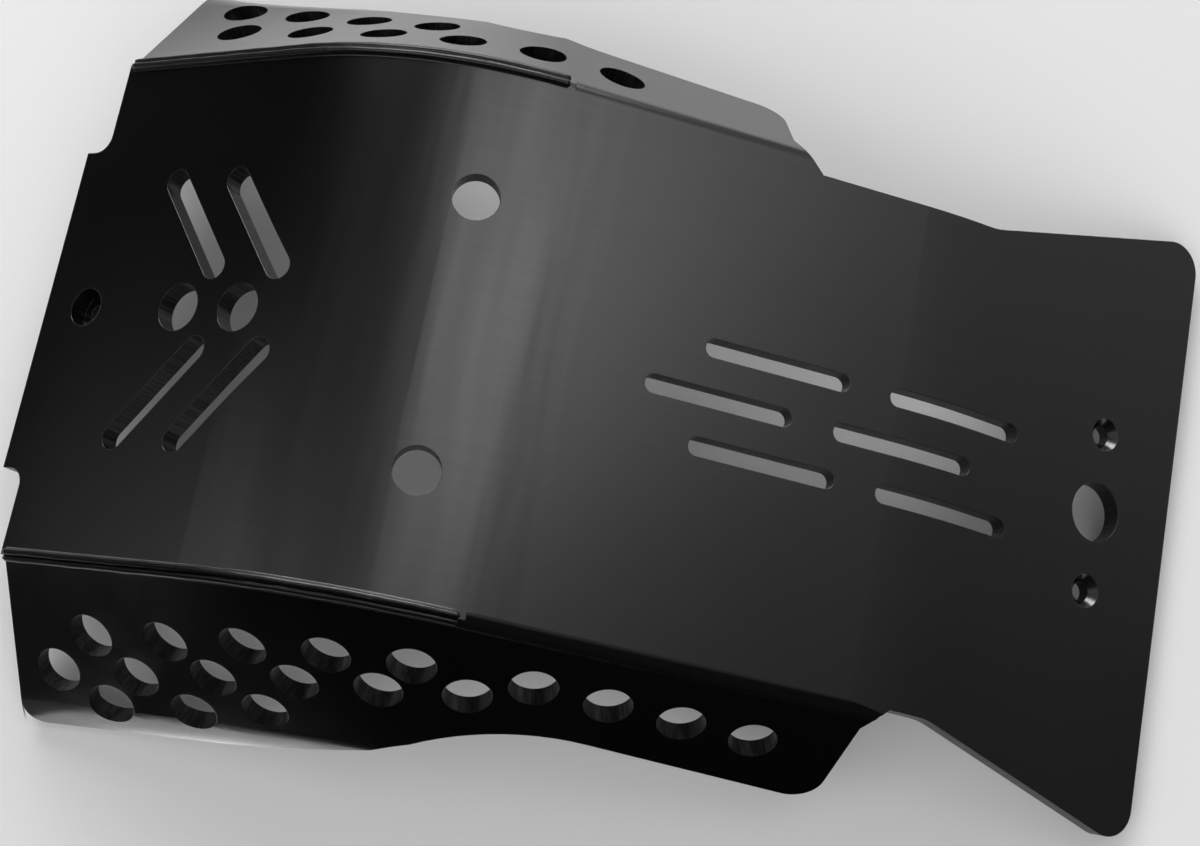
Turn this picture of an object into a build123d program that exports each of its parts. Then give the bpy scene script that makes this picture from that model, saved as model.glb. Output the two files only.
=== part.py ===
from build123d import *
from math import atan2, cos, degrees, radians, sin, tan
import os

# Sheet and its two bends, all in mm and measured on the outer face
thickness = 6.35
front_radius = 114.0
front_angle = 46.5
flat_length = 123.0
rear_radius = 152.0
rear_angle = 13.0

# Outline of the main panel, lengths run along the sheet from the start of the front roll
tab_edge = 178.5
notch_edge = 169.0
tab_half = 55.7
notch_radius = 6.0
rear_edge = 237.5
waist_half = 82.0
waist_length = 19.7
kink_radius = 20.0
rear_half = 107.0
rear_corner = 10.0

# Round holes and slots of the main panel
drain_diameter = 15.0
drain_at = -23.2
drain_half = 43.7
nose_bore = 13.0
nose_at = -160.0
pair_diameter = 16.0
pair_first = -119.0
pair_pitch = 25.0
chevron_width = 8.8
chevron_inner = (-108.1, 13.9)
chevron_outer = (-133.0, 43.4)
chevron_pitch = 26.1
slot_width = 6.2
slot_centres = 42.75
slot_first = 42.9
slot_stagger = 17.2
slot_pitch = 63.2
slot_row = 16.0
tail_bore = 20.0
tail_at = 206.0
screw_bore = 6.6
screw_head = 11.3
screw_half = 27.0
screw_cone = 90.0

# Side wings: fold lines, fold angles and outlines, distances run from the fold or seam
long_half = 84.3
short_half = 88.0
long_angle = 55.0
short_angle = 48.0
long_end = 130.0
short_end = 75.5
fold_radius = 5.0
end_relief = 4.0
end_corner = 10.0
long_edge = (46.5, 43.2)
short_edge = (33.3, 39.3)
long_turn = 52.0
short_turn = 14.0
long_sweep = (75.0, 54.0)
short_sweep = (53.0, 50.0)

# Ears: twisted front part of each wing, with a lip rolled inward along the free edge
seam_length = 167.0
ear_rear = 62.7
ear_front = (-118.2, 126.2, -113.1)
ear_corner = 9.0
lip_rear = 20.0
lip_middle = 17.5
lip_front = 9.0
lip_radius = 28.0
lip_lap = 3.0
lip_sink = 1.0
lip_lean = 38.0

# Rows of wing holes: count of each row, then its first, middle and last hole
wing_bore = 15.5
long_count = (5, 6, 3, 4)
short_count = (5, 4, 1)
long_rows = (
    ((-10.3, 25.5), (-68.8, 31.0), (-132.0, 28.2)),
    ((10.5, 32.8), (-64.8, 46.3), (-148.3, 40.9)),
    ((-59.9, 61.6), (-90.0, 62.7), (-126.2, 56.0)),
    ((28.4, 22.6), (64.6, 23.4), (100.8, 24.3)),
)
short_rows = (
    ((-10.3, 23.2), (-69.3, 28.0), (-134.1, 26.7)),
    ((-51.9, 46.5), (-96.7, 49.5), (-142.1, 45.8)),
    ((17.1, 18.9), (17.1, 18.9), (17.1, 18.9)),
)

# Weld beads along the two seams
bead_height = 1.4
bead_valley = 0.6
bead_foot = 2.6
bead_from = 3.0
bead_spacing = 2.1

# Backing plate behind the nose hole
pad_length = 30.0
pad_width = 26.0
pad_height = 5.0
pad_bore = 6.8

roll_length = front_radius * radians(front_angle)
bend_length = rear_radius * radians(rear_angle)


def skin(s, y=0.0):
    """Plane on the outer face at developed length s, x to the rear and z outward."""
    if s < 0:
        turn = min(-s, roll_length) / front_radius
        run = max(-s - roll_length, 0.0)
        x = -front_radius * sin(turn) - run * cos(turn)
        z = front_radius * (cos(turn) - 1) - run * sin(turn)
        return Plane((x, y, z), x_dir=(cos(turn), 0, sin(turn)), z_dir=(-sin(turn), 0, cos(turn)))
    past = max(s - flat_length, 0.0)
    turn = min(past, bend_length) / rear_radius
    run = max(past - bend_length, 0.0)
    x = min(s, flat_length) + rear_radius * sin(turn) + run * cos(turn)
    z = rear_radius * (cos(turn) - 1) - run * sin(turn)
    return Plane((x, y, z), x_dir=(cos(turn), 0, -sin(turn)), z_dir=(sin(turn), 0, cos(turn)))


def flank(s):
    """Point of the side view at developed length s."""
    spot = skin(s).origin
    return (spot.X, spot.Z)


def along(start, finish, part_way):
    """Point part of the way from start to finish."""
    return start + (finish - start) * part_way


def wing_plane(half, fold):
    """Plane of a wing's flat rear part, x along the fold and y away from it."""
    turn = radians(fold)
    return Plane((0, half, 0), x_dir=(1, 0, 0), z_dir=(0, sin(turn), cos(turn)))


def guide_spot(half, fold, s):
    """Point of the straight line that bounds the ear, at developed length s of the seam."""
    rear = wing_plane(half, fold).from_local_coords(Vector(0, ear_rear, 0))
    return along(rear, Vector(ear_front), -s / seam_length)


def wing_spot(half, fold, s, w):
    """Point of a wing's outer face at distance w from the fold or seam."""
    if s >= 0:
        return wing_plane(half, fold).from_local_coords(Vector(s, w, 0))
    root = skin(s, half).origin
    return root + (guide_spot(half, fold, s) - root).normalized() * w


def wing_normal(half, fold, s, w):
    """Outward direction of a wing at that point."""
    if s >= 0:
        return wing_plane(half, fold).z_dir
    across = wing_spot(half, fold, s, w + 1) - wing_spot(half, fold, s, w)
    ahead = wing_spot(half, fold, s - 1, w) - wing_spot(half, fold, s, w)
    return across.cross(ahead).normalized()


def hole_planes(half, fold, counts, rows):
    """Planes above the holes of a wing, each row runs through its first, middle and last hole."""
    planes = []
    for count, (first, middle, last) in zip(counts, rows):
        for index in range(count):
            u = index / max(count - 1, 1)
            shares = ((1 - u) * (1 - 2 * u), 4 * u * (1 - u), u * (2 * u - 1))
            s = sum(share * spot[0] for share, spot in zip(shares, (first, middle, last)))
            w = sum(share * spot[1] for share, spot in zip(shares, (first, middle, last)))
            out = wing_normal(half, fold, s, w)
            spot = wing_spot(half, fold, s, w)
            planes.append(Plane(spot, x_dir=(1, 0, 0.6), z_dir=out).offset(thickness))
    return planes


def lip_plane(half, fold, s):
    """Plane across the lip at developed length s, x outward along the ear and y out of it."""
    bend = guide_spot(half, fold, s)
    run = bend - skin(s, half).origin
    out = wing_normal(half, fold, s, run.length)
    return Plane(bend, x_dir=run, z_dir=run.cross(out))


def lip_section(half, fold, s, width):
    """Cross-section of the rolled lip, that width along its outer face."""
    turn = width / lip_radius
    reach = lip_radius - thickness
    with BuildSketch(lip_plane(half, fold, s)) as section:
        with BuildLine():
            outer = CenterArc((0, -lip_radius), lip_radius, 90, -degrees(turn))
            inner = Line((reach * sin(turn), reach * cos(turn) - lip_radius), (0, -thickness))
            Line(outer @ 1, inner @ 0)
            Polyline(inner @ 1, (-lip_lap, lip_sink - thickness), (-lip_lap, -lip_sink), outer @ 0)
        make_face()
    return section.sketch


def lip_spot(half, fold, s, width):
    """Point of the lip's free edge at developed length s."""
    turn = width / lip_radius
    spot = Vector(lip_radius * sin(turn), lip_radius * (cos(turn) - 1), 0)
    return lip_plane(half, fold, s).from_local_coords(spot)


def fold_corner(half, fold, depth, side):
    """Sliver between a sharp fold at that depth and its round, on one side."""
    turn = radians(fold)
    reach = fold_radius * tan(turn / 2)
    y = half - depth * tan(turn / 2)
    with BuildSketch(Plane.YZ) as sliver:
        with BuildLine():
            Polyline(
                (side * y, -depth),
                (side * (y - reach), -depth),
                (side * (y - reach), -depth - fold_radius),
                (side * (y + reach * cos(turn)), -depth - reach * sin(turn)),
                close=True,
            )
        make_face()
        with Locations((side * (y - reach), -depth - fold_radius)):
            Circle(fold_radius, mode=Mode.SUBTRACT)
    return sliver.sketch


def seam_line(half, start=0.0):
    """Seam between an ear and the main panel, rear end first."""
    skip = degrees(start / front_radius)
    with BuildLine(Plane((0, half, 0), x_dir=(1, 0, 0), z_dir=(0, -1, 0))) as seam:
        CenterArc((0, -front_radius), front_radius, 90 + skip, front_angle - skip)
        Line(flank(-roll_length), flank(-seam_length))
    return seam


def ruled(first, second, out):
    """Sheet of full thickness below the ruled face between two edges."""
    thicken(Face.make_surface_from_curves(first, second), amount=-thickness, normal_override=out)


def make_wing(half, fold, length, edge, turn_at, sweep_to, counts, rows):
    """One wing on the +Y side: flat rear part, twisted ear with its lip, holes."""
    flat = wing_plane(half, fold)
    guide = [guide_spot(half, fold, s) for s in (0, -roll_length, -seam_length)]
    lip = ((0, lip_rear), (-seam_length / 2, lip_middle), (-seam_length, lip_front))
    free = [lip_spot(half, fold, s, width) for s, width in lip]
    with BuildPart() as wing:
        with BuildSketch(flat) as rear_part:
            with BuildLine():
                Polyline(
                    (0, 0),
                    (length + end_relief, 0),
                    (length, 2 * end_relief),
                    (length, edge[0]),
                    (turn_at, edge[1]),
                    (0, edge[1]),
                    close=True,
                )
            make_face()
            fillet(rear_part.vertices().sort_by_distance((length, edge[0]))[0], end_corner)
        extrude(amount=-thickness)
        with BuildSketch(flat):
            with BuildLine():
                Polyline((turn_at, 0), (turn_at, edge[1]), (0, ear_rear), (0, 0), close=True)
            make_face()
        extrude(amount=-thickness)
        for inner, start, finish in zip(seam_line(half).edges(), guide, guide[1:]):
            with BuildLine() as outer:
                Line(start, finish)
            ruled(inner, outer.edge(), flat.z_dir)
        loft(sections=[lip_section(half, fold, s, width) for s, width in lip])

        # Free edge: a curve runs out from the narrow rear part to the lip
        radius, sweep_angle = sweep_to
        lean = degrees(atan2(edge[0] - edge[1], length - turn_at))
        with BuildSketch(flat):
            with BuildLine():
                centre = (turn_at - radius * sin(radians(lean)), edge[1] + radius * cos(radians(lean)))
                curve = CenterArc(centre, radius, lean - 90, -sweep_angle)
                far = 2 * ear_rear
                slope = PolarLine(curve @ 1, far, 180 - lip_lean)
                Polyline(slope @ 1, (-far, 2 * far), (length, 2 * far), (length, edge[0]), curve @ 0)
            make_face()
        extrude(amount=ear_rear, both=True, mode=Mode.SUBTRACT)

        # Rounded front corner of the ear, between the lip's free edge and the front edge
        with BuildLine(mode=Mode.PRIVATE):
            rim = ThreePointArc(*free)
        tip = Plane(free[2], x_dir=-(rim % 1), z_dir=wing_normal(half, fold, -seam_length, ear_rear))
        front = tip.to_local_coords(skin(-seam_length, half).origin)
        spread = atan2(front.Y, front.X) / 2
        reach = ear_corner / tan(abs(spread))
        inward = ear_corner / sin(abs(spread))
        with BuildSketch(tip):
            with BuildLine():
                Polyline((0, 0), (reach, 0), (reach * cos(2 * spread), reach * sin(2 * spread)), close=True)
            make_face()
            with Locations((inward * cos(spread), inward * sin(spread))):
                Circle(ear_corner, mode=Mode.SUBTRACT)
        extrude(amount=2 * ear_corner, both=True, mode=Mode.SUBTRACT)

        with Locations(*hole_planes(half, fold, counts, rows)):
            Hole(wing_bore / 2, depth=4 * thickness)
    return wing.part


def make_bead(half, fold):
    """Weld bead along the seam on the +Y side, two ridges with a valley between them."""
    turn = radians(fold) / 2
    start = skin(-bead_from, half)
    ridge = bead_spacing / 2
    with BuildPart() as bead:
        with BuildSketch(Plane(start.origin, x_dir=(0, cos(turn), -sin(turn)), z_dir=start.x_dir)):
            with BuildLine():
                Polyline(
                    (-bead_foot, -bead_foot * tan(turn) - bead_valley),
                    (-ridge, bead_height),
                    (0, bead_valley),
                    (ridge, bead_height),
                    (bead_foot, -bead_foot * tan(turn) - bead_valley),
                    close=True,
                )
            make_face()
        sweep(path=seam_line(half, bead_from).wire())
    return bead.part


# Main panel: side view of the bent sheet, drawn across its full width
with BuildPart() as panel:
    with BuildSketch(Plane.XZ):
        with BuildLine():
            Line(flank(-tab_edge), flank(-roll_length))
            CenterArc((0, -front_radius), front_radius, 90, front_angle)
            Line((0, 0), (flat_length, 0))
            CenterArc((flat_length, -rear_radius), rear_radius, 90 - rear_angle, rear_angle)
            Line(flank(flat_length + bend_length), flank(rear_edge))
            offset(amount=thickness, side=Side.RIGHT)
        make_face()
    extrude(amount=rear_half, both=True)

    # Sides: straight along the seams and folds, a waist behind each wing, then the flare
    front_x = flank(-tab_edge)[0] - thickness
    kink_x = flank(long_end + waist_length)[0]
    rear_x = flank(rear_edge)[0]
    for side, half, end in ((1, short_half, short_end), (-1, long_half, long_end)):
        with BuildSketch() as beside:
            with BuildLine():
                Polyline(
                    (front_x, side * half),
                    (end + end_relief, side * half),
                    (end + end_relief + half - waist_half, side * waist_half),
                    (kink_x, side * waist_half),
                    (rear_x, side * rear_half),
                    (rear_x, side * 2 * rear_half),
                    (front_x, side * 2 * rear_half),
                    close=True,
                )
            make_face()
            fillet(beside.vertices().sort_by_distance((kink_x, side * waist_half))[0], kink_radius)
        extrude(amount=rear_half, both=True, mode=Mode.SUBTRACT)

    # Notches beside the front tab
    for side in (1, -1):
        with BuildSketch(skin(-notch_edge)) as notch:
            with BuildLine():
                Polyline(
                    (0, side * tab_half),
                    (0, side * rear_half),
                    (-tab_half, side * rear_half),
                    (-tab_half, side * tab_half),
                    close=True,
                )
            make_face()
            fillet(notch.vertices().sort_by_distance((0, side * tab_half))[0], notch_radius)
        extrude(amount=3 * thickness, both=True, mode=Mode.SUBTRACT)

    # Rounded rear corners
    for side in (1, -1):
        corner = skin(rear_edge, side * rear_half).offset(-thickness / 2).origin
        fillet(panel.edges().sort_by_distance(corner)[0], rear_corner)

    # Round holes
    with Locations(skin(drain_at, drain_half), skin(drain_at, -drain_half)):
        Hole(drain_diameter / 2, depth=3 * thickness)
    with Locations(skin(pair_first), skin(pair_first + pair_pitch)):
        Hole(pair_diameter / 2, depth=3 * thickness)
    with Locations(skin(nose_at)):
        Hole(nose_bore / 2, depth=3 * thickness)
    with Locations(skin(tail_at)):
        Hole(tail_bore / 2, depth=3 * thickness)
    with Locations(skin(tail_at, screw_half), skin(tail_at, -screw_half)):
        CounterSinkHole(screw_bore / 2, screw_head / 2, depth=3 * thickness, counter_sink_angle=screw_cone)

    # Chevron slots of the front panel and thin slots of the bottom
    inner_s, inner_y = chevron_inner
    outer_s, outer_y = chevron_outer
    tilt = degrees(atan2(outer_y - inner_y, outer_s - inner_s))
    reach = Vector(outer_s - inner_s, outer_y - inner_y).length
    for shift in (0, chevron_pitch):
        for side in (1, -1):
            centre = skin((inner_s + outer_s) / 2 + shift, side * (inner_y + outer_y) / 2)
            with BuildSketch(centre):
                SlotCenterToCenter(reach, chevron_width, rotation=side * tilt)
            extrude(amount=3 * thickness, both=True, mode=Mode.SUBTRACT)
    for group in (0, slot_pitch):
        for stagger, y in ((0, 0), (slot_stagger, slot_row), (slot_stagger, -slot_row)):
            with BuildSketch(skin(slot_first + slot_centres / 2 + stagger + group, y)):
                SlotCenterToCenter(slot_centres, slot_width)
            extrude(amount=3 * thickness, both=True, mode=Mode.SUBTRACT)

# Wings and weld beads, drawn on the +Y side, the long wing is mirrored to the -Y side
short_wing = make_wing(
    short_half, short_angle, short_end, short_edge, short_turn, short_sweep, short_count, short_rows
)
long_wing = make_wing(
    long_half, long_angle, long_end, long_edge, long_turn, long_sweep, long_count, long_rows
)
short_bead = make_bead(short_half, short_angle)
long_bead = make_bead(long_half, long_angle)

with BuildPart() as sheet:
    add(panel.part)
    add(short_wing)
    mirror(long_wing, about=Plane.XZ)
    for side, half, fold, end in (
        (1, short_half, short_angle, short_end),
        (-1, long_half, long_angle, long_end),
    ):
        extrude(fold_corner(half, fold, thickness, side), amount=end)
        extrude(fold_corner(half, fold, 0, side), amount=end + 2 * end_relief, mode=Mode.SUBTRACT)
    add(short_bead)
    mirror(long_bead, about=Plane.XZ)

    # Backing plate behind the nose hole
    with BuildSketch(skin(nose_at).offset(-thickness)):
        Rectangle(pad_length, pad_width)
        Circle(pad_bore / 2, mode=Mode.SUBTRACT)
    extrude(amount=-pad_height)

# Resting pose: the ears' tips and the rear edge stand on the ground
tail = sheet.vertices().filter_by(lambda v: v.X > kink_x).sort_by(Axis.Z)[0]
ahead = sheet.vertices().filter_by(lambda v: v.X < 0)
pitch = max(atan2(tail.Z - v.Z, tail.X - v.X) for v in ahead)
with BuildPart() as turned:
    add(sheet.part, rotation=(0, degrees(pitch), 0))
box = turned.part.bounding_box()
with BuildPart() as skid_plate:
    with Locations((-box.center().X, -box.center().Y, -box.min.Z)):
        add(turned.part)

skid_plate.part.label = "skid_plate"
os.makedirs("parts", exist_ok=True)
export_step(skid_plate.part, "parts/skid_plate.step")
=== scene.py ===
from math import cos, pi, radians, sin, sqrt

import bmesh
import bpy
from mathutils import Matrix, Vector


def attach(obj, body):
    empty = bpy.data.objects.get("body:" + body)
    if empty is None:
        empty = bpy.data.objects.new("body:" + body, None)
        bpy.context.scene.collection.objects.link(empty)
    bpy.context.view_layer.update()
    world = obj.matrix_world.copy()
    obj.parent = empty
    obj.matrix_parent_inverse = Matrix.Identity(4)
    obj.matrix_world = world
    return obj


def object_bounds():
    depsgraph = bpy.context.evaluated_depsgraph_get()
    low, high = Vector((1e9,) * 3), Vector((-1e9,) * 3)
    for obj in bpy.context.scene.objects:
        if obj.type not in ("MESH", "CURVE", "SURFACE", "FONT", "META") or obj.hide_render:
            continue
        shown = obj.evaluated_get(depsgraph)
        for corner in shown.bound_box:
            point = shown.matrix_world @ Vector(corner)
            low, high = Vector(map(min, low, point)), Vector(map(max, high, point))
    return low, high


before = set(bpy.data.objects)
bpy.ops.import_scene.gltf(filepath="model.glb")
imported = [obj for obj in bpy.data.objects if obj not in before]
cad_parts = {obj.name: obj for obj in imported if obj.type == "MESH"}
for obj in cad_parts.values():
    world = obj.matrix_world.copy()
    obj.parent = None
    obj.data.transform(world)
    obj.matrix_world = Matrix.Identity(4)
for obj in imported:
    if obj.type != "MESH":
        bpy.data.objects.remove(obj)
cad_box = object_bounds()
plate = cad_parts["skid_plate"]


# Sizes of the bent sheet that the finish and the welds follow, in metres and radians

front_radius = 0.114
front_angle = radians(46.5)
rear_angle = radians(13.0)
seam_length = 0.167
short_half, short_fold = 0.088, radians(48.0)
long_half, long_fold = 0.0843, radians(55.0)
fold_line = 0.0865
pitch = radians(15.0985)
shift = Vector((-0.0294269, 0.0000102, 0.0880468))

# Where the front roll and the rear bend begin and end along X
roll_front, roll_rear = -0.1185, -0.0294
bend_front, bend_rear = 0.0893, 0.1213

# Weld: two ridges side by side on each seam
ridge_radius = 0.00115
ridge_offset = 0.00108
ridge_lift = 0.00027
ridge_begin = 0.0018
ridge_end = seam_length + 0.0002
ridge_step = 0.0005
ridge_sides = 14


# Shader node helpers

def node(tree, kind, **settings):
    """New node with its properties, and its inputs set by name or by number."""
    made = tree.nodes.new(kind)
    inputs = settings.pop("inputs", {})
    for name, value in settings.items():
        setattr(made, name, value)
    for name, value in inputs.items():
        if hasattr(value, "is_output"):
            tree.links.new(value, made.inputs[name])
        else:
            made.inputs[name].default_value = value
    return made


def dot(tree, first, second):
    return node(
        tree, "ShaderNodeVectorMath", operation="DOT_PRODUCT",
        inputs={0: first, 1: second}).outputs["Value"]


def maths(tree, operation, first, second=0.0):
    return node(tree, "ShaderNodeMath", operation=operation, inputs={0: first, 1: second}).outputs[0]


def product(tree, *values):
    total = values[0]
    for value in values[1:]:
        total = maths(tree, "MULTIPLY", total, value)
    return total


def ramp(tree, value, low, high, at_low, at_high, kind="LINEAR"):
    """Value that goes from at_low to at_high while the given one goes from low to high."""
    return node(tree, "ShaderNodeMapRange", interpolation_type=kind, inputs={
        "Value": value, "From Min": low, "From Max": high,
        "To Min": at_low, "To Max": at_high}).outputs[0]


def mixed(tree, share, first, second):
    return node(
        tree, "ShaderNodeMix", data_type="FLOAT", inputs={0: share, 2: first, 3: second}).outputs[0]


def grey(tree, value):
    return node(
        tree, "ShaderNodeCombineColor",
        inputs={"Red": value, "Green": value, "Blue": value}).outputs[0]


def noise(tree, place, scale, detail):
    return node(
        tree, "ShaderNodeTexNoise",
        inputs={"Vector": place, "Scale": scale, "Detail": detail}).outputs["Fac"]


# Finish of the sheet and of the welds

def brushed_grain():
    """Hairlines along the plate and a slow cloud over the coat."""
    tree = bpy.data.node_groups.new("brushed_grain", "ShaderNodeTree")
    for label, default in (("Fineness", 900.0), ("Length", 14.0)):
        socket = tree.interface.new_socket(label, in_out="INPUT", socket_type="NodeSocketFloat")
        socket.default_value = default
    for label in ("Lines", "Cloud"):
        tree.interface.new_socket(label, in_out="OUTPUT", socket_type="NodeSocketFloat")
    given = tree.nodes.new("NodeGroupInput")
    result = tree.nodes.new("NodeGroupOutput")
    place = node(tree, "ShaderNodeTexCoord").outputs["Object"]
    split = node(tree, "ShaderNodeSeparateXYZ", inputs={"Vector": place})
    stretched = node(tree, "ShaderNodeCombineXYZ", inputs={
        "X": maths(tree, "MULTIPLY", split.outputs["X"], given.outputs["Length"]),
        "Y": maths(tree, "MULTIPLY", split.outputs["Y"], given.outputs["Fineness"]),
        "Z": maths(tree, "MULTIPLY", split.outputs["Z"], given.outputs["Length"])})
    tree.links.new(noise(tree, stretched.outputs[0], 1.0, 3.0), result.inputs["Lines"])
    tree.links.new(noise(tree, place, 9.0, 2.0), result.inputs["Cloud"])
    return tree


grain = brushed_grain()


def sheet_direction(tree, place):
    """Direction that the bent sheet faces at a point: main panel by its tilt, wings by their side."""
    split = node(tree, "ShaderNodeSeparateXYZ", inputs={"Vector": place})
    x, y = split.outputs["X"], split.outputs["Y"]
    front_tilt = ramp(tree, x, roll_front, roll_rear, front_angle - pitch, -pitch)
    rear_tilt = ramp(tree, x, bend_front, bend_rear, 0.0, -rear_angle)
    tilt = maths(tree, "ADD", front_tilt, rear_tilt)
    beside = maths(tree, "GREATER_THAN", maths(tree, "ABSOLUTE", y), fold_line)
    ahead = maths(tree, "LESS_THAN", x, 0.1)
    wing = maths(tree, "MULTIPLY", beside, ahead)
    lean = ramp(tree, x, -0.16, roll_rear, -0.30, 0.16)
    return node(tree, "ShaderNodeCombineXYZ", inputs={
        "X": mixed(tree, wing, maths(tree, "MULTIPLY", maths(tree, "SINE", tilt), -1.0), lean),
        "Y": maths(tree, "MULTIPLY", maths(tree, "MULTIPLY", maths(tree, "SIGN", y), wing), 0.74),
        "Z": mixed(tree, wing, maths(tree, "COSINE", tilt), 0.64)}).outputs[0]


def cut_walls(tree, place):
    """Mask of the cut walls of holes and edges, and the streaks that the cut left across them."""
    facing = sheet_direction(tree, place)
    normal = node(tree, "ShaderNodeNewGeometry").outputs["True Normal"]
    mask = ramp(tree, maths(tree, "ABSOLUTE", dot(tree, normal, facing)), 0.5, 0.75, 1.0, 0.0)
    depth = node(
        tree, "ShaderNodeVectorMath", operation="SCALE",
        inputs={0: facing, "Scale": dot(tree, place, facing)})
    flat = node(
        tree, "ShaderNodeVectorMath", operation="SUBTRACT", inputs={0: place, 1: depth.outputs[0]})
    return mask, noise(tree, flat.outputs[0], 1300.0, 2.0)


def press_marks(tree, place):
    """Soft streaks across the front roll, left by the press, about zero and none elsewhere."""
    split = node(tree, "ShaderNodeSeparateXYZ", inputs={"Vector": place})
    x, y = split.outputs["X"], split.outputs["Y"]
    stretched = node(tree, "ShaderNodeCombineXYZ", inputs={
        "X": maths(tree, "MULTIPLY", x, 85.0), "Y": maths(tree, "MULTIPLY", y, 9.0)})
    streaks = noise(tree, stretched.outputs[0], 1.0, 1.6)
    rises = ramp(tree, x, roll_front - 0.01, roll_front + 0.02, 0.0, 1.0, "SMOOTHSTEP")
    fades = ramp(tree, x, roll_rear - 0.01, roll_rear + 0.03, 1.0, 0.0, "SMOOTHSTEP")
    centred = maths(tree, "SUBTRACT", streaks, 0.5)
    return maths(tree, "MULTIPLY", centred, maths(tree, "MULTIPLY", rises, fades))


def black_sheet():
    """Black satin coat on brushed aluminium sheet, streaked where it was cut and where it was pressed,
    with painted shade on the cut walls.
    """
    finish = bpy.data.materials.new("black_sheet")
    finish.use_nodes = True
    tree = finish.node_tree
    shader = tree.nodes["Principled BSDF"]
    shader.inputs["Metallic"].default_value = 1.0
    place = node(tree, "ShaderNodeTexCoord").outputs["Object"]
    marks = node(tree, "ShaderNodeGroup", node_tree=grain)
    wall, streaks = cut_walls(tree, place)
    press = press_marks(tree, place)
    hairline_tone = ramp(tree, marks.outputs["Lines"], 0.3, 0.7, 0.107, 0.115)
    press_tone = ramp(tree, press, -0.25, 0.25, 0.86, 1.14)
    face_tone = maths(tree, "MULTIPLY", hairline_tone, press_tone)
    # The cut walls are painted darker than the faces as painted shade in the holes; their streaks and
    # rougher finish are real.
    painted_wall_shade = ramp(tree, streaks, 0.3, 0.7, 0.025, 0.065)
    face_rough = ramp(tree, marks.outputs["Cloud"], 0.3, 0.7, 0.19, 0.22)
    hairlines = node(tree, "ShaderNodeBump", inputs={
        "Height": marks.outputs["Lines"], "Strength": 0.012, "Distance": 0.0004})
    pressed = node(tree, "ShaderNodeBump", inputs={
        "Height": press, "Strength": 1.0, "Distance": 0.00024, "Normal": hairlines.outputs[0]})
    cut = node(tree, "ShaderNodeBump", inputs={
        "Height": maths(tree, "MULTIPLY", streaks, wall), "Strength": 0.5, "Distance": 0.0003,
        "Normal": pressed.outputs[0]})
    soft = node(
        tree, "ShaderNodeBevel", samples=6, inputs={"Radius": 0.0003, "Normal": cut.outputs[0]})
    tone = grey(tree, mixed(tree, wall, face_tone, painted_wall_shade))
    tree.links.new(tone, shader.inputs["Base Color"])
    tree.links.new(mixed(tree, wall, face_rough, 0.36), shader.inputs["Roughness"])
    tree.links.new(soft.outputs[0], shader.inputs["Normal"])
    return finish


def black_weld():
    """The same coat over the weld, darker, rougher and finely pitted instead of brushed."""
    finish = bpy.data.materials.new("black_weld")
    finish.use_nodes = True
    tree = finish.node_tree
    shader = tree.nodes["Principled BSDF"]
    shader.inputs["Metallic"].default_value = 1.0
    place = node(tree, "ShaderNodeTexCoord").outputs["Object"]
    marks = node(tree, "ShaderNodeGroup", node_tree=grain)
    pits = noise(tree, place, 900.0, 3.0)
    bump = node(tree, "ShaderNodeBump", inputs={
        "Height": pits, "Strength": 0.12, "Distance": 0.0003})
    tone = grey(tree, ramp(tree, pits, 0.3, 0.7, 0.045, 0.065))
    tree.links.new(tone, shader.inputs["Base Color"])
    rough = ramp(tree, marks.outputs["Cloud"], 0.3, 0.7, 0.28, 0.34)
    tree.links.new(rough, shader.inputs["Roughness"])
    tree.links.new(bump.outputs[0], shader.inputs["Normal"])
    return finish


sheet_finish = black_sheet()
plate.data.materials.clear()
plate.data.materials.append(sheet_finish)
weld_finish = black_weld()


# Weld: two round ridges along each seam between an ear and the rolled front

def seam_frame(back, half, side):
    """Point of a seam that far ahead of the roll's start, with the panel's outward direction there."""
    turned = min(back / front_radius, front_angle)
    run = max(back - front_radius * front_angle, 0.0)
    ahead = -front_radius * sin(turned) - run * cos(turned)
    down = -front_radius * (1 - cos(turned)) - run * sin(turned)
    outward = Vector((-sin(turned), 0, cos(turned)))
    tip = Matrix.Rotation(pitch, 3, "Y")
    return tip @ Vector((ahead, side * half, down)) + shift, tip @ outward


def weld_ridge(mesh, half, fold, side, offset, phase):
    """One ridge: rings along the seam that swell and wander a little, with rounded ends."""
    count = int((ridge_end - ridge_begin) / ridge_step)
    rings = []
    for number in range(count + 1):
        back = ridge_begin + (ridge_end - ridge_begin) * number / count
        spot, outward = seam_frame(back, half, side)
        across = Vector((0, side * cos(fold / 2), 0)) - outward * sin(fold / 2)
        rise = Vector((0, side * sin(fold / 2), 0)) + outward * cos(fold / 2)
        ripple = 0.022 * sin(2 * pi * back / 0.0014 + phase)
        swell = 1 + ripple + 0.03 * sin(2 * pi * back / 0.0117 + 2 * phase)
        wander = 0.00005 * sin(2 * pi * back / 0.023 + phase)
        near_end = min(back - ridge_begin, ridge_end - back, ridge_radius)
        swell *= max(sqrt(1 - (1 - near_end / ridge_radius) ** 2), 0.05)
        middle = spot + across * (offset + wander) + rise * ridge_lift
        ring = []
        for corner in range(ridge_sides):
            angle = 2 * pi * corner / ridge_sides
            point = middle + (across * cos(angle) + rise * sin(angle)) * ridge_radius * swell
            point.z = min(point.z, cad_box[1][2])
            ring.append(mesh.verts.new(point))
        rings.append(ring)
    for first, second in zip(rings, rings[1:]):
        for corner in range(ridge_sides):
            after = (corner + 1) % ridge_sides
            mesh.faces.new((first[corner], first[after], second[after], second[corner]))
    mesh.faces.new(rings[0])
    mesh.faces.new(rings[-1])


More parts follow.
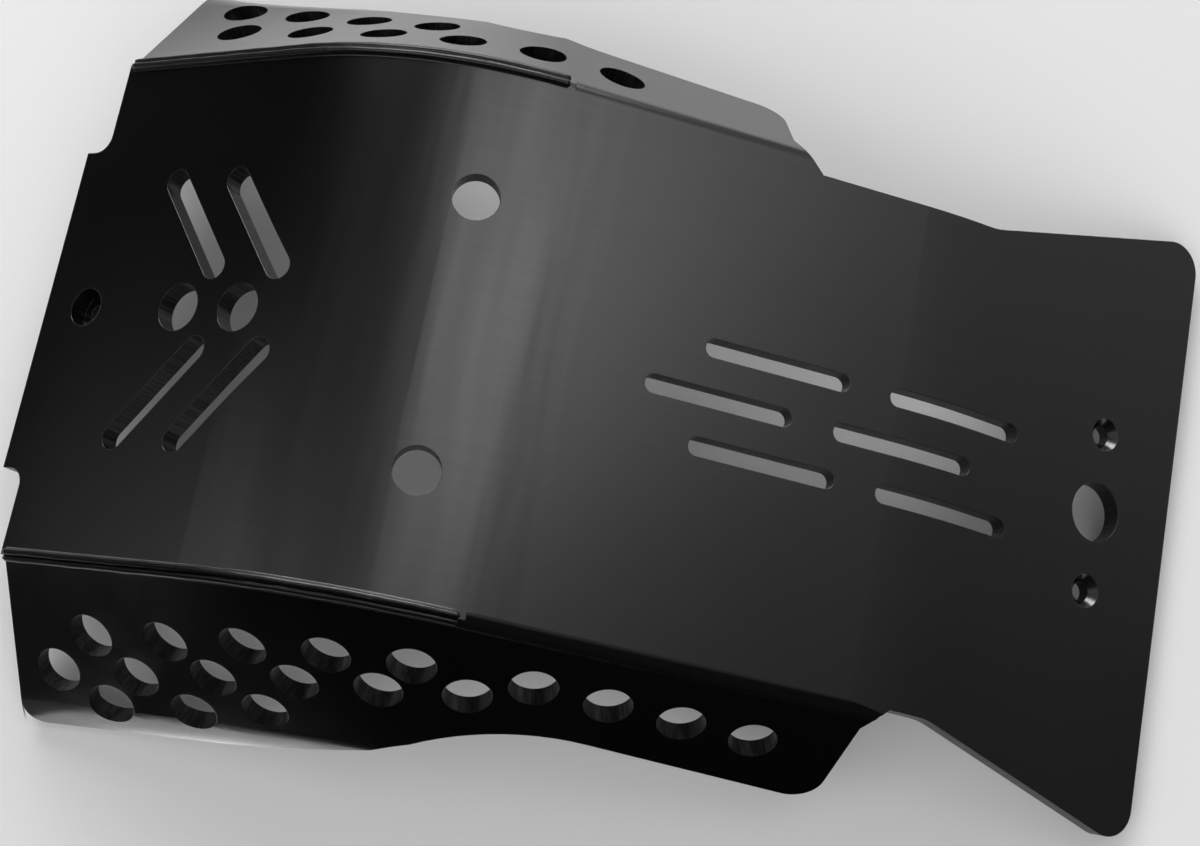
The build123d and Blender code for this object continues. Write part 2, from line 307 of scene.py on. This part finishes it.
def weld(name, half, fold, side):
    mesh = bmesh.new()
    for offset, phase in ((-ridge_offset, 0.4), (ridge_offset, 1.9)):
        weld_ridge(mesh, half, fold, side, offset, phase)
    bmesh.ops.recalc_face_normals(mesh, faces=mesh.faces)
    for face in mesh.faces:
        face.smooth = True
    data = bpy.data.meshes.new(name)
    mesh.to_mesh(data)
    mesh.free()
    data.materials.append(weld_finish)
    piece = bpy.data.objects.new(name, data)
    bpy.context.collection.objects.link(piece)
    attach(piece, "root")


weld("short_weld", short_half, short_fold, 1)
weld("long_weld", long_half, long_fold, -1)


# Floor, backdrop, studio light and camera

def matt_paint(name, tone, glow=0.0):
    """Plain paint of one grey without gloss, for the stage."""
    paint = bpy.data.materials.new(name)
    paint.use_nodes = True
    shader = paint.node_tree.nodes["Principled BSDF"]
    shader.inputs["Base Color"].default_value = (tone, tone, tone, 1)
    shader.inputs["Roughness"].default_value = 1.0
    shader.inputs["Specular IOR Level"].default_value = 0.0
    shader.inputs["Emission Color"].default_value = (1, 1, 1, 1)
    shader.inputs["Emission Strength"].default_value = glow
    return paint


def stage_mesh(name, points, faces, paint):
    data = bpy.data.meshes.new(name)
    data.from_pydata(points, [], faces)
    data.materials.append(paint)
    holder = bpy.data.objects.new(name, data)
    bpy.context.collection.objects.link(holder)
    return holder


def pale_floor():
    reach = 15.0
    corners = [(-reach, -reach, 0), (reach, -reach, 0), (reach, reach, 0), (-reach, reach, 0)]
    stage_mesh("floor", corners, [(0, 1, 2, 3)], matt_paint("floor_paint", 0.80))


def pale_backdrop():
    """Round pale wall with a curved foot, far behind everything and seen by the camera alone."""
    foot, foot_radius, height, around = 2.4, 0.8, 5.0, 96
    profile = []
    for degrees_up in range(0, 100, 10):
        turn = radians(degrees_up)
        profile.append((foot + foot_radius * sin(turn), foot_radius * (1 - cos(turn))))
    profile.append((foot + foot_radius, height))
    points, faces = [], []
    for far, high in profile:
        for step in range(around):
            turn = 2 * pi * step / around
            points.append((far * cos(turn), far * sin(turn), high))
    for row in range(len(profile) - 1):
        for step in range(around):
            after = (step + 1) % around
            faces.append((row * around + step, row * around + after,
                          (row + 1) * around + after, (row + 1) * around + step))
    wall = stage_mesh("backdrop", points, faces, matt_paint("backdrop_paint", 0.0, 0.72))
    wall.visible_diffuse = False
    wall.visible_glossy = False
    wall.visible_transmission = False
    wall.visible_shadow = False


def card(name, corners, tone, glow=0.0):
    """Four-cornered cards of one tone beside the plate, seen only in reflections, where they paint dark
    or glowing reflections onto the plate.
    """
    faces = [tuple(range(first, first + 4)) for first in range(0, len(corners), 4)]
    holder = stage_mesh(name, corners, faces, matt_paint(name, tone, glow))
    holder.visible_camera = False
    holder.visible_diffuse = False
    holder.visible_shadow = False
    holder.visible_transmission = False


def lying(front, rear, near, far, high=0.0006):
    """Corners of a card on the floor."""
    return [(front, near, high), (rear, near, high), (rear, far, high), (front, far, high)]


def standing(front, rear, at, height):
    """Corners of a card that stands along the long wing."""
    return [(front, at, 0), (rear, at, 0), (rear, at, height), (front, at, height)]


def cards():
    """Painted reflections: black beside the long wing and low in front, glowing white under the long
    ear's lip, faintly glowing grey at its tip.
    """
    ahead = [(-0.45, -0.172, 0), (-0.45, 0.6, 0), (-0.45, 0.6, 0.09), (-0.45, -0.172, 0.09)]
    beside = standing(-0.9, 0.9, -0.172, 0.4) + lying(0.02, 0.3, -0.172, -0.12)
    # Black cards seen only in reflections: a painted dark reflection along the long wing and low in
    # front.
    card("dark_reflection_card", beside + ahead, 0.004)
    # Glowing white strip seen only in reflections: a painted highlight on the long ear's lip.
    card("lip_highlight_card", lying(-0.2, -0.03, -0.162, -0.125), 0.8, 0.9)
    # Faintly glowing grey card seen only in reflections: a painted reflection at the tip of the long
    # ear's lip.
    card("lip_tip_reflection_card", standing(-0.27, -0.16, -0.171, 0.02), 0.1, 0.05)


def softbox(name, place, width, height, power):
    lamp = bpy.data.lights.new(name, "AREA")
    lamp.shape = "RECTANGLE"
    lamp.size = width
    lamp.size_y = height
    lamp.energy = power
    holder = bpy.data.objects.new(name, lamp)
    bpy.context.collection.objects.link(holder)
    holder.location = place
    holder.rotation_euler = (-Vector(place)).to_track_quat("-Z", "Y").to_euler()


def soft_sky():
    """World light by direction: bright overhead, a paler patch low in front, darker at the rear."""
    world = bpy.data.worlds.new("studio")
    bpy.context.scene.world = world
    world.use_nodes = True
    tree = world.node_tree
    toward = node(tree, "ShaderNodeTexCoord").outputs["Generated"]
    split = node(tree, "ShaderNodeSeparateXYZ", inputs={"Vector": toward})
    x, y, z = split.outputs
    front_edge = dot(tree, toward, (1.0, 0.35, 0.0))
    rear_edge = dot(tree, toward, (1.0, -0.2, 0.0))
    overhead = product(
        tree,
        ramp(tree, front_edge, -0.18, 0.08, 0.0, 1.12, "SMOOTHSTEP"),
        ramp(tree, rear_edge, 0.28, 0.50, 1.0, 0.0, "SMOOTHSTEP"),
        ramp(tree, x, 0.1, 0.36, 1.0, 1.22),
        ramp(tree, y, 0.10, 0.27, 0.25, 1.0, "SMOOTHSTEP"),
        ramp(tree, y, 0.28, 0.60, 1.0, 0.0),
        ramp(tree, z, 0.3, 0.6, 0.0, 1.0))
    patch = product(
        tree,
        ramp(tree, y, 0.09, 0.28, 0.45, 0.0, "SMOOTHSTEP"),
        ramp(tree, y, -0.4, -0.1, 0.0, 1.0),
        ramp(tree, z, 0.14, 0.30, 0.0, 1.0),
        ramp(tree, x, -0.8, -0.5, 1.0, 0.4),
        ramp(tree, x, -0.3, 0.0, 1.0, 0.0))
    front = maths(tree, "ADD", ramp(tree, x, -0.78, -0.25, 0.01, 0.14), patch)
    rear = product(
        tree, ramp(tree, y, 0.13, 0.37, 0.09, 0.30), ramp(tree, x, 0.6, 0.9, 1.0, 0.85))
    around = mixed(tree, ramp(tree, x, 0.0, 0.3, 0.0, 1.0), front, rear)
    sky = maths(tree, "ADD", around, overhead)
    shade = mixed(tree, ramp(tree, z, -0.02, 0.03, 0.0, 1.0, "SMOOTHSTEP"), 0.75, sky)
    tree.links.new(grey(tree, shade), tree.nodes["Background"].inputs["Color"])


def camera():
    """Camera at the photograph's viewing angle."""
    lens = bpy.data.cameras.new("camera")
    lens.sensor_width = 36.0
    lens.lens = 59.12
    lens.clip_start = 0.01
    holder = bpy.data.objects.new("camera", lens)
    bpy.context.collection.objects.link(holder)
    right = Vector((0.98234, 0.18608, 0.01952))
    up = Vector((-0.18520, 0.95226, 0.24269))
    back = right.cross(up)
    turn = Matrix((right, up, back)).transposed().to_4x4()
    holder.matrix_world = Matrix.Translation((0.01390, -0.16145, 0.66173)) @ turn
    bpy.context.scene.camera = holder


pale_floor()
pale_backdrop()
cards()
soft_sky()
softbox("key_front", (-1.2, -1.2, 1.4), 2.0, 2.0, 17)
softbox("key_rear", (0.7, -1.6, 1.3), 2.0, 2.0, 17)
softbox("fill", (-0.5, 1.7, 0.95), 2.0, 1.0, 40)
camera()
bpy.context.scene.view_settings.view_transform = "Standard"
